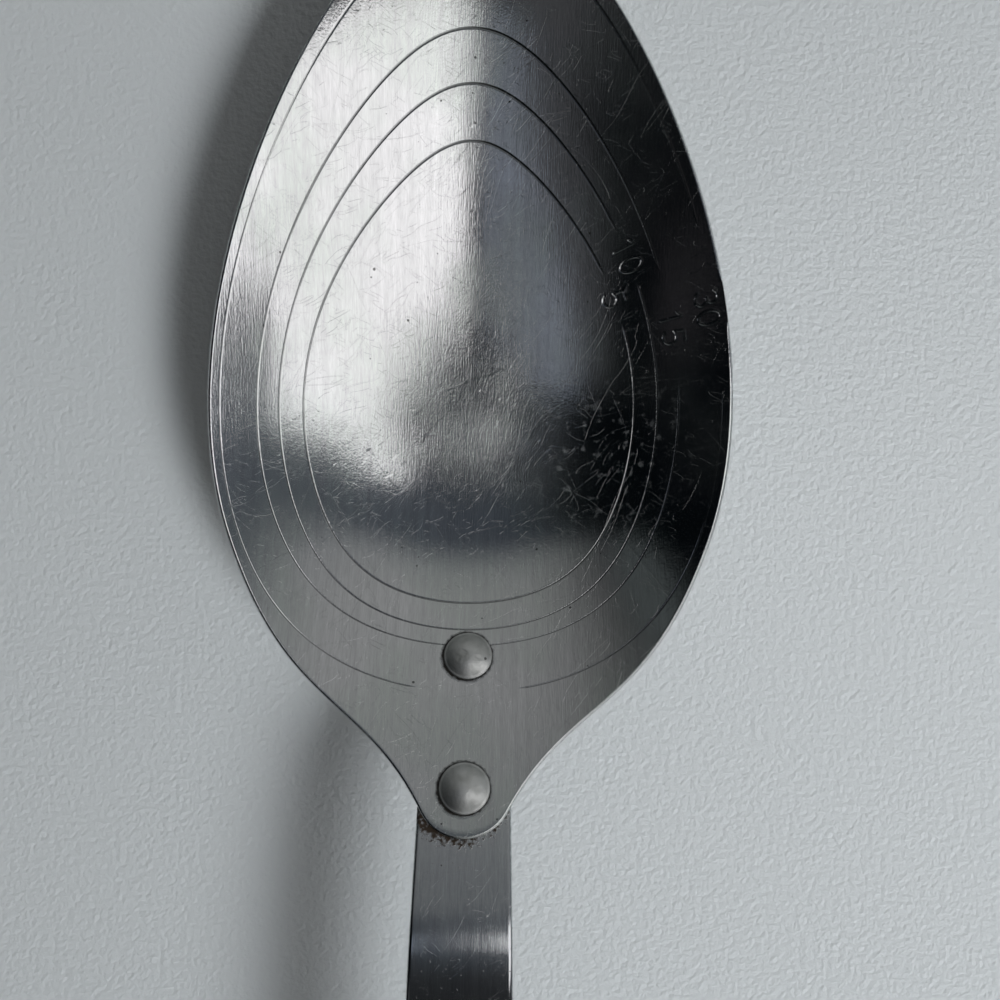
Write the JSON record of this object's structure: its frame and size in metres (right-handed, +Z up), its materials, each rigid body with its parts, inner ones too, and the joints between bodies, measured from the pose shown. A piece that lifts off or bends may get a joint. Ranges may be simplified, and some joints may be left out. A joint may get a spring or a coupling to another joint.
{
  "type": "serving spoon",
  "caption": "Stainless serving spoon: a pressed egg-shaped bowl with level measuring lines, riveted by its tang to an arched flat strap handle with a hanging hole.",
  "frame": {"origin": "on the table at the middle of the spoon's length and width, with the spoon lying on the bottom of its bowl and on the flat end of its handle", "axes": "+Y along the spoon towards the tip of the bowl, +Z up out of the bowl, +X across"},
  "size_m": [0.065, 0.311, 0.0294],
  "materials": {
    "bowl": "worn fine brushed stainless sheet",
    "handle": "fine brushed stainless strap",
    "rivets": "dull domed steel with small dents"
  },
  "bodies": {
    "root": {"bowl": "bowl", "handle": "handle", "bowl_rivet": "rivets", "neck_rivet": "rivets"}
  },
  "joints": []
}
